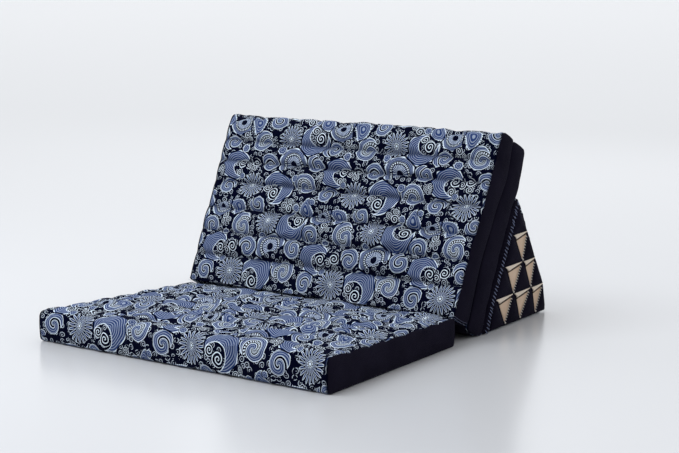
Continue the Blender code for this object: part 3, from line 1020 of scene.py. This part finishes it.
def swell_row(point):
    """Moves a point of the bolster's section out where a stuffed row stands proud."""
    depth, outward = back_depth(point)
    near = max(1 - depth / (2 * BOLSTER_BACK[2]), 0.0)
    height = point.z / BOLSTER_TOP[1]
    share = (point.z / BOLSTER_ROW) % 1.0
    push = BOLSTER_SWELL * near * 4 * height * (1 - height) * (0.5 + 0.5 * lobe(share))
    return point + Vector((0.0, push * outward.x, push * outward.y))


def make_bolster():
    """The prism with soft corners, cut finely, printed and swollen at its back."""
    corners = (BOLSTER_FRONT, BOLSTER_BACK, BOLSTER_TOP)
    bm = bmesh.new()
    section = bm.faces.new([bm.verts.new((-BOLSTER_HALF, y, z)) for y, z, _ in corners])
    far = bmesh.ops.extrude_face_region(bm, geom=[section])["geom"]
    moved = [g for g in far if isinstance(g, bmesh.types.BMVert)]
    bmesh.ops.translate(bm, verts=moved, vec=(2 * BOLSTER_HALF, 0.0, 0.0))
    bmesh.ops.recalc_face_normals(bm, faces=bm.faces)
    for index, (y, z, radius) in enumerate(corners):
        neighbours = (corners[index - 1], corners[(index + 1) % 3])
        first, second = (Vector(n[:2]) - Vector((y, z)) for n in neighbours)
        round_edges(bm, edges_at(bm, (y, z)), radius / math.tan(first.angle(second) / 2), 6)
    cells = BOLSTER_ROWS * BOLSTER_CELLS_ROW
    cut(bm, 2, [BOLSTER_ROW * k / BOLSTER_CELLS_ROW for k in range(1, cells + 1)])
    steps = int((BOLSTER_BACK[0] - BOLSTER_FRONT[0]) / BOLSTER_CELL)
    cut(bm, 1, [BOLSTER_FRONT[0] + BOLSTER_CELL * k for k in range(1, steps)])
    bm.normal_update()
    distance, total = round_section(bm, BOLSTER_FRONT[:2])
    divide_across(bm, CELLS_ACROSS)
    lay_print(bm, distance, total, BOLSTER_PRINT_FROM, ())
    painted_shade_layer = bm.verts.layers.float.new("seam_valley_and_painted_shade")
    rows = [BOLSTER_ROW * k for k in range(1, BOLSTER_ROWS + 1)]
    held = []
    for vert in bm.verts:
        on_line = abs(vert.co.z / BOLSTER_ROW - round(vert.co.z / BOLSTER_ROW)) < 0.01
        depth = back_depth(vert.co)[0]
        held.append(depth > BOLSTER_CELL or on_line or abs(vert.co.x) > BOLSTER_HALF - SEAM_GAP)
        # Painted shade along the sewn rows of the back slope
        vert[painted_shade_layer] = seam_valley_and_painted_shade(rows, vert.co.z) * (depth < BOLSTER_CELL)
    for vert in bm.verts:
        vert.co = ORIGIN @ swell_row(vert.co)
    bm.normal_update()
    bmesh.ops.recalc_face_normals(bm, faces=bm.faces)
    piece = add_piece("bolster_print", bm, PRINT)
    swell(piece, [i for i, h in enumerate(held) if h], BOLSTER_SWELL_CAP)
    smooth_cloth(piece, 1)
    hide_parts("bolster")


make_bolster()


# The navy ends of the bolster: patchwork of the ends of ten stuffed tubes in four rows, in plain
# navy cotton. Each end puffs out between its seams, and the cream pockets sit in the gaps.
END_ROWS = (
    (0.2930, (0.7990,)),
    (0.2205, (0.7720, 0.8490)),
    (0.1480, (0.7325, 0.8255, 0.8925)),
    (0.0755, (0.6890, 0.7810, 0.8705, 0.9380)),
    (0.0060, (0.6670, 0.7405, 0.8165, 0.8975, 0.9530)),
)
TUBE_PUFF = 0.0070
TUBE_SOFT = 0.009
POCKET_SEAM = 0.0016
POCKET_TUCKED = 0.13
END_CUTS = 8
END_FOOT = 0.0022


def end_corner(row, index):
    """One corner of the tube ends, in the plane of the end panel's cloth."""
    z, places = END_ROWS[row]
    return Vector((BOLSTER_HALF + SEAM_GAP + CLOTH, places[index], z))


def inside_by(point, corners):
    """How far a point lies inside a triangle's nearest edge, negative outside it."""
    middle = sum(corners, Vector()) / 3
    least = 1.0
    for first, last in zip(corners, corners[1:] + corners[:1]):
        along = (last - first).normalized()
        inward = Vector((0.0, -along.z, along.y))
        if (middle - first).dot(inward) < 0:
            inward.negate()
        least = min(least, (point - first).dot(inward))
    return least


def turn_to_side(bm, sign):
    """Turns a sheet made for the right end into one for the left, still facing outwards."""
    bmesh.ops.scale(bm, vec=(sign, 1.0, 1.0), verts=bm.verts)
    if sign < 0:
        bmesh.ops.reverse_faces(bm, faces=bm.faces)


def add_sheet(name, bm, material, thickness):
    """A sheet of cloth with its thickness behind its face."""
    piece = add_piece(name, bm, material, ORIGIN)
    thick = piece.modifiers.new("Thickness", "SOLIDIFY")
    thick.thickness = thickness
    thick.offset = -1.0
    return piece


def make_end_panel(side, sign):
    """The ten puffed navy tube ends of one side."""
    bm = bmesh.new()
    rows = []
    for row, (_, places) in enumerate(END_ROWS):
        rows.append([bm.verts.new(end_corner(row, i)) for i in range(len(places))])
    tubes = []
    pockets = []
    for upper, lower in zip(rows, rows[1:]):
        for i, corner in enumerate(upper):
            tubes.append(bm.faces.new((corner, lower[i], lower[i + 1])))
        for i in range(len(upper) - 1):
            pockets.append(bm.faces.new((upper[i], lower[i + 1], upper[i + 1])))
    outlines = [[v.co.copy() for v in face.verts] for face in tubes]
    bm.normal_update()
    bmesh.ops.inset_individual(bm, faces=pockets, thickness=POCKET_SEAM, use_even_offset=True)
    for face in pockets:
        front, back = (pick(face.verts, key=lambda v: v.co.y) for pick in (min, max))
        front.co.y += POCKET_TUCKED * (back.co.y - front.co.y)
    bmesh.ops.delete(bm, geom=pockets, context="FACES")
    bmesh.ops.triangulate(bm, faces=bm.faces)
    long_edges = [e for e in bm.edges if e.calc_length() > 4 * POCKET_SEAM]
    bmesh.ops.subdivide_edges(bm, edges=long_edges, cuts=END_CUTS, use_grid_fill=True)
    bmesh.ops.triangulate(bm, faces=bm.faces)
    for vert in bm.verts:
        depth = max(max(inside_by(vert.co, outline) for outline in outlines), 0.0)
        patch = noise.noise(vert.co * 30.0 + Vector((sign, 0.0, 0.0)))
        vert.co.x += TUBE_PUFF * (1 - math.exp(-depth / TUBE_SOFT)) * (1 + 0.25 * patch)
        if vert.co.z < END_ROWS[-1][0] + SEAM_GAP:
            vert.co.z = END_FOOT
    turn_to_side(bm, sign)
    piece = add_sheet(f"bolster_end_{side}", bm, NAVY_COTTON, CLOTH)
    smooth_cloth(piece, 1)
    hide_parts(f"end_panel_{side}")


# The gathers: a narrow strip of navy cotton in front of each end, drawn in to small pleats. Pale
# blue thread overcasts it.
GATHER_ROUND = 0.0050
GATHER_BULGE = 0.0042
GATHER_PLEAT = 0.0085
GATHER_DEPTH = 0.0016
GATHER_ALONG = 190
GATHER_ACROSS = 10
GATHER_LAP = (0.0030, 0.0015)
WHIP_LENGTH = 0.0190
WHIP_THICK = 0.0013
WHIP_LIFT = 0.0030
WHIP_STEP = 0.0078
BLUE_THREAD = (0.260, 0.300, 0.480, 1.0)


PALE_BLUE_THREAD = thread_material("pale_blue_thread", BLUE_THREAD)


def front_edge(z):
    """How far back the bolster's front slope lies at a height."""
    foot, top = Vector(BOLSTER_FRONT[:2]), Vector(BOLSTER_TOP[:2])
    return foot.x + (top.x - foot.x) * (z - foot.y) / (top.y - foot.y)


def seam_edge(z):
    """How far back the front edge of the navy end lies at a height."""
    rows = [(height, places[0]) for height, places in reversed(END_ROWS)]
    for (low, first), (high, last) in zip(rows, rows[1:]):
        if z <= high:
            return first + (last - first) * (z - low) / (high - low)
    return rows[-1][1]


def make_gathers(side, sign):
    """The pleated strip in front of one navy end, and the thread that overcasts it."""
    low, high = END_FOOT, END_ROWS[0][0] + 2 * GATHER_ROUND
    bm = bmesh.new()
    bmesh.ops.create_grid(bm, x_segments=GATHER_ACROSS, y_segments=GATHER_ALONG, size=0.5)
    for vert in bm.verts:
        share = vert.co.x + 0.5
        z = low + (high - low) * (vert.co.y + 0.5)
        start = front_edge(z) - GATHER_LAP[0]
        end = seam_edge(min(z, END_ROWS[0][0])) + GATHER_LAP[1]
        fold = (z + 0.35 * GATHER_PLEAT * noise.noise((z * 60, sign, 0.0))) / GATHER_PLEAT
        pleat = math.sin(math.tau * (fold + 0.8 * share)) * GATHER_DEPTH
        pleat *= math.sin(math.pi * min(share + 0.12, 1.0))
        lump = 0.5 + 0.5 * noise.noise((z * 35.0, share * 2, sign * 5.0))
        rise = GATHER_BULGE * math.sin(math.pi * share) ** 0.7 * (0.7 + 0.6 * lump)
        corner = GATHER_ROUND * max(0.0, 1 - share / 0.25) ** 2
        out = BOLSTER_HALF + SEAM_GAP + rise + pleat - corner
        vert.co = Vector((out, start + (end - start) * share, z))
    turn_to_side(bm, sign)
    strip = add_sheet(f"bolster_gathers_{side}", bm, NAVY_COTTON, CLOTH / 2)
    stitches = []
    count = int((high - low) / WHIP_STEP)
    for k in range(count):
        z = low + WHIP_STEP * (k + 0.5 + 0.4 * noise.noise((k * 3.1, sign, 2.0)))
        start, end = front_edge(z), seam_edge(min(z, END_ROWS[0][0]))
        share = 0.32 + 0.30 * (z / high) ** 2 + 0.16 * noise.noise((z * 130.0, 4.0, sign))
        rise = GATHER_BULGE * math.sin(math.pi * share) ** 0.7 + WHIP_LIFT
        point = Vector((sign * (BOLSTER_HALF + SEAM_GAP + rise), start + (end - start) * share, z))
        slant = Vector((0.0, 0.78, -0.63 + 0.40 * noise.noise((z * 90.0, sign, 7.0))))
        stitches.append((point, slant.normalized()))
    name = f"bolster_whipping_{side}"
    thread = sew(name, stitches, WHIP_LENGTH, WHIP_THICK, PALE_BLUE_THREAD, ORIGIN)


for end_side, end_sign in ENDS:
    make_gathers(end_side, end_sign)


# The cream pockets: a folded cotton triangle sunk between the tube ends. Its upper edge is folded
# over as a lip, thicker at the front, and its back edge is whipped to the navy cloth.
POCKET_EDGE = 0.0015
POCKET_LIP_FRONT = 0.0145
POCKET_LIP_BACK = 0.0022
POCKET_LIP_SHADE = 0.0058
POCKET_LIP_RISE = 0.0042
POCKET_SINK = 0.0012
POCKET_CUTS = 11
TAPE = 0.0016
CREAM = (0.800, 0.570, 0.410, 1.0)
CREAM_PALE = (0.920, 0.720, 0.540, 1.0)
# Painted highlight on the folded lip, and painted shade in the band under it
CREAM_LIP_HIGHLIGHT = (1.000, 0.860, 0.720, 1.0)
CREAM_SHADE = (0.050, 0.026, 0.018, 1.0)
CREAM_THREAD = (1.000, 0.930, 0.850, 1.0)
EDGE_LENGTH = 0.0120
EDGE_THICK = 0.0014
EDGE_STEP = 0.0064
EDGE_LIFT = 0.0020
KNOT_THICK = 0.0022
KNOT_LENGTH = 0.00572


def cream_cloth():
    """Cream cotton with a plain weave, painted highlight on its lip, painted shade under it."""
    cloth = Cloth("cream_cloth")
    where = cloth.add("ShaderNodeTexCoord").outputs["Object"]
    parts = cloth.add("ShaderNodeSeparateXYZ", (where,)).outputs
    colour = cloth.choose(cloth.cloud(where, 40.0, 4.0), CREAM, CREAM_PALE, "RGBA")
    fold = cloth.add("ShaderNodeAttribute", (), attribute_name="fold").outputs["Fac"]
    colour = cloth.choose(cloth.most(fold, 0.0), colour, CREAM_LIP_HIGHLIGHT, "RGBA")
    shade = cloth.most(cloth.times(fold, -1.0), 0.0)
    cloth.give(cloth.shader.inputs["Base Color"], cloth.choose(shade, colour, CREAM_SHADE, "RGBA"))
    cloth.weave(parts[1], parts[2], cloth.cloud(where, 160.0, 3.0))
    return cloth.finish(0.80, 0.15, (1.0, 0.95, 0.85, 1.0))


CREAM_COTTON = cream_cloth()


def lip_depth(y, front, back):
    """How far the folded lip reaches below its upper edge: deep in front, narrow at the back."""
    share = min(max((y - front.y) / (back.y - front.y), 0.0), 1.0)
    return POCKET_LIP_FRONT + (POCKET_LIP_BACK - POCKET_LIP_FRONT) * share


def make_pocket(side, sign, row, index):
    """One cream pocket with its folded lip, and where its whipping stitches lie."""
    front = end_corner(row, index)
    back = end_corner(row, index + 1)
    tip = end_corner(row + 1, index + 1)
    bm = bmesh.new()
    face = bm.faces.new([bm.verts.new(corner) for corner in (front, tip, back)])
    bm.normal_update()
    bmesh.ops.inset_individual(bm, faces=[face], thickness=POCKET_EDGE, use_even_offset=True)
    bmesh.ops.delete(bm, geom=[f for f in bm.faces if f != face], context="FACES")
    bmesh.ops.subdivide_edges(bm, edges=bm.edges, cuts=POCKET_CUTS, use_grid_fill=True)
    bmesh.ops.triangulate(bm, faces=bm.faces)
    lip_front = front + Vector((0.0, 0.0, -POCKET_LIP_FRONT))
    lip_back = back + Vector((0.0, 0.0, -POCKET_LIP_BACK))
    along = (lip_back - lip_front).normalized()
    upward = Vector((0.0, -along.z, along.y))
    for drop in (0.0, TAPE, POCKET_LIP_SHADE, POCKET_LIP_SHADE + TAPE):
        bmesh.ops.bisect_plane(
            bm,
            geom=bm.verts[:] + bm.edges[:] + bm.faces[:],
            plane_co=lip_front - upward * drop,
            plane_no=upward,
        )
    fold = bm.verts.layers.float.new("fold")
    for vert in bm.verts:
        above = (vert.co - lip_front).dot(upward)
        depth = lip_depth(vert.co.y, front, back)
        down = (front.z - vert.co.z) / (front.z - tip.z)
        behind = back.y + (tip.y - back.y) * down - vert.co.y
        vert.co.y += POCKET_TUCKED * max(behind, 0.0) * (1 - min(max(above / depth, 0.0), 1.0))
        # The lip is painted light (fold 1) and the band under it painted shade (fold -1)
        if above > -TAPE / 2:
            vert[fold] = 1.0
            round_lip = math.sin(math.pi * min(0.25 + 0.6 * above / depth, 1.0))
            vert.co.x += POCKET_LIP_RISE * (0.30 + 0.70 * depth / POCKET_LIP_FRONT) * round_lip
        else:
            vert[fold] = -1.0 if above > -POCKET_LIP_SHADE - TAPE / 2 else 0.0
            vert.co.x -= POCKET_SINK * math.exp(above / 0.02)
    turn_to_side(bm, sign)
    name = f"{side}_{row}{index + 1}"
    piece = add_sheet(f"cream_pocket_{name}", bm, CREAM_COTTON, TAPE)
    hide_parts(f"pocket_{name}")
    return front, back, tip


def whip_pockets(side, sign, pockets):
    """Cream thread whipped over the back edge of each pocket, with a knot at its tip."""
    stitches = []
    knots = []
    for front, back, tip in pockets:
        edge = tip - back
        count = int(edge.length / EDGE_STEP)
        for k in range(2, count):
            point = back + edge * (k / count) + Vector((EDGE_LIFT, -EDGE_LENGTH * 0.42, 0.0))
            point.x *= sign
            slant = Vector((0.0, 0.86, -0.50 + 0.2 * noise.noise((k * 1.3, point.y * 50, sign))))
            stitches.append((point, slant.normalized()))
        knot = tip + Vector((EDGE_LIFT, 0.0, 0.0035))
        knots.append((Vector((knot.x * sign, knot.y, knot.z)), Vector((0.0, 0.0, 1.0))))
    thread = CREAM_COTTON_THREAD
    sew(f"pocket_whipping_{side}", stitches, EDGE_LENGTH, EDGE_THICK, thread, ORIGIN)
    sew(f"pocket_knots_{side}", knots, KNOT_LENGTH, KNOT_THICK, thread, ORIGIN)


CREAM_COTTON_THREAD = thread_material("cream_thread", CREAM_THREAD)

for end_side, end_sign in ENDS:
    make_end_panel(end_side, end_sign)
    made = []
    for end_row in range(1, len(END_ROWS) - 1):
        for end_index in range(end_row):
            made.append(make_pocket(end_side, end_sign, end_row, end_index))
    whip_pockets(end_side, end_sign, made)


# The hinge strip: navy cotton down the crease between the seat and the back mat and on round the
# feet of both standing mats. Pale thread overcasts its ends to the gussets.
TAPE_CLEAR = 0.0005
SEAT_SPAN = (-0.378, 0.396)
FEET_SPAN = (-0.3895, 0.3935)
HINGE_CREASE = 0.0580
HINGE_WIDTH = 0.0320
HINGE_BEND = 0.0060
HINGE_FOLD = 0.0100
HINGE_REAR = 0.0450
FOOT_STITCH = 0.0052
FOOT_THICK = 0.00065
FOOT_STEP = 0.0066
FOOT_ROWS = (0.0026, -0.0022)
FOOT_CLEAR = 0.003
REAR_ROW = (0.002, 0.052)
REAR_STITCHES = 4


def on_mat(name, s, n):
    """A place in a mat's own section, as (Y, Z) of the cushion before it is placed."""
    place, facing = PLACES[name]
    point = ORIGIN.inverted() @ place @ Vector((0.0, s, facing * n))
    return point.y, point.z


def make_hinge():
    """The strip: up the seat's end, then under the feet of the two standing mats."""
    off = TAPE_CLEAR + TAPE / 2
    seat_end = channel_lines(MATS["seat_mat"])[-1] + END_SWELL + off
    below = -END_SWELL - off
    drop = MATS["rear_mat"]["drop"]
    crease = on_mat("back_mat", below, HINGE_CREASE)
    on_seat = (
        (seat_end, crease[1] - HINGE_WIDTH),
        (seat_end, crease[1] - HINGE_BEND),
        (seat_end + HINGE_BEND / 2, crease[1]),
    )
    on_feet = (
        on_mat("back_mat", below, HINGE_CREASE - 2 * HINGE_BEND),
        on_mat("back_mat", below, HINGE_FOLD),
        on_mat("back_mat", below - off, HINGE_FOLD / 2),
        on_mat("back_mat", below - drop, HINGE_FOLD / 2),
        on_mat("rear_mat", below, HINGE_FOLD),
        on_mat("rear_mat", below, HINGE_REAR),
    )
    bm = bmesh.new()
    verts = []
    for points, (left, _) in ((on_seat, SEAT_SPAN), (on_feet, FEET_SPAN)):
        verts += [bm.verts.new((left, y, z)) for y, z in points]
    edges = [bm.edges.new(pair) for pair in zip(verts, verts[1:])]
    far = bmesh.ops.extrude_edge_only(bm, edges=edges)["geom"]
    for vert in far:
        if isinstance(vert, bmesh.types.BMVert):
            vert.co.x = SEAT_SPAN[1] if vert.co.x > FEET_SPAN[0] + SEAM_GAP else FEET_SPAN[1]
    divide_across(bm, CELLS_ACROSS // 2)
    bm.normal_update()
    piece = add_sheet("hinge_strip", bm, NAVY_COTTON, TAPE)
    smooth_cloth(piece, 1)
    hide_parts("seat_hinge")


def foot_place(sign, s, n):
    """A place on the side of the back mat, or below its foot where s is under zero."""
    below = PLACES["back_mat"][0].to_3x3() @ Vector((0.0, min(s, 0.0), 0.0))
    return side_place("back_mat", sign, max(s, 0.0), n) + below


def overcast_feet(side, sign):
    """Pale thread over the ends of the strip: two rows on the back mat's foot, one on the rear's."""
    stitches = []
    for s in FOOT_ROWS:
        n = HINGE_FOLD
        while n < MATS["back_mat"]["edge"][0][1]:
            here = foot_place(sign, s, n)
            following = foot_place(sign, s, n + FOOT_STEP)
            stitches.append((here, (following - here).normalized()))
            n += FOOT_STEP * (1 + 0.2 * noise.noise((n * 300, s * 900, sign)))
    rear_s, rear_n = REAR_ROW
    for k in range(REAR_STITCHES):
        here = side_place("rear_mat", sign, rear_s, rear_n + FOOT_STEP * k)
        following = side_place("rear_mat", sign, rear_s, rear_n + FOOT_STEP * (k + 1))
        here.z = max(here.z, FOOT_CLEAR)
        following.z = max(following.z, FOOT_CLEAR)
        stitches.append((here, (following - here).normalized()))
    name = f"foot_overcasting_{side}"
    sew(name, stitches, FOOT_STITCH, FOOT_THICK, PALE_BLUE_THREAD, None)


make_hinge()
for end_side, end_sign in ENDS:
    overcast_feet(end_side, end_sign)
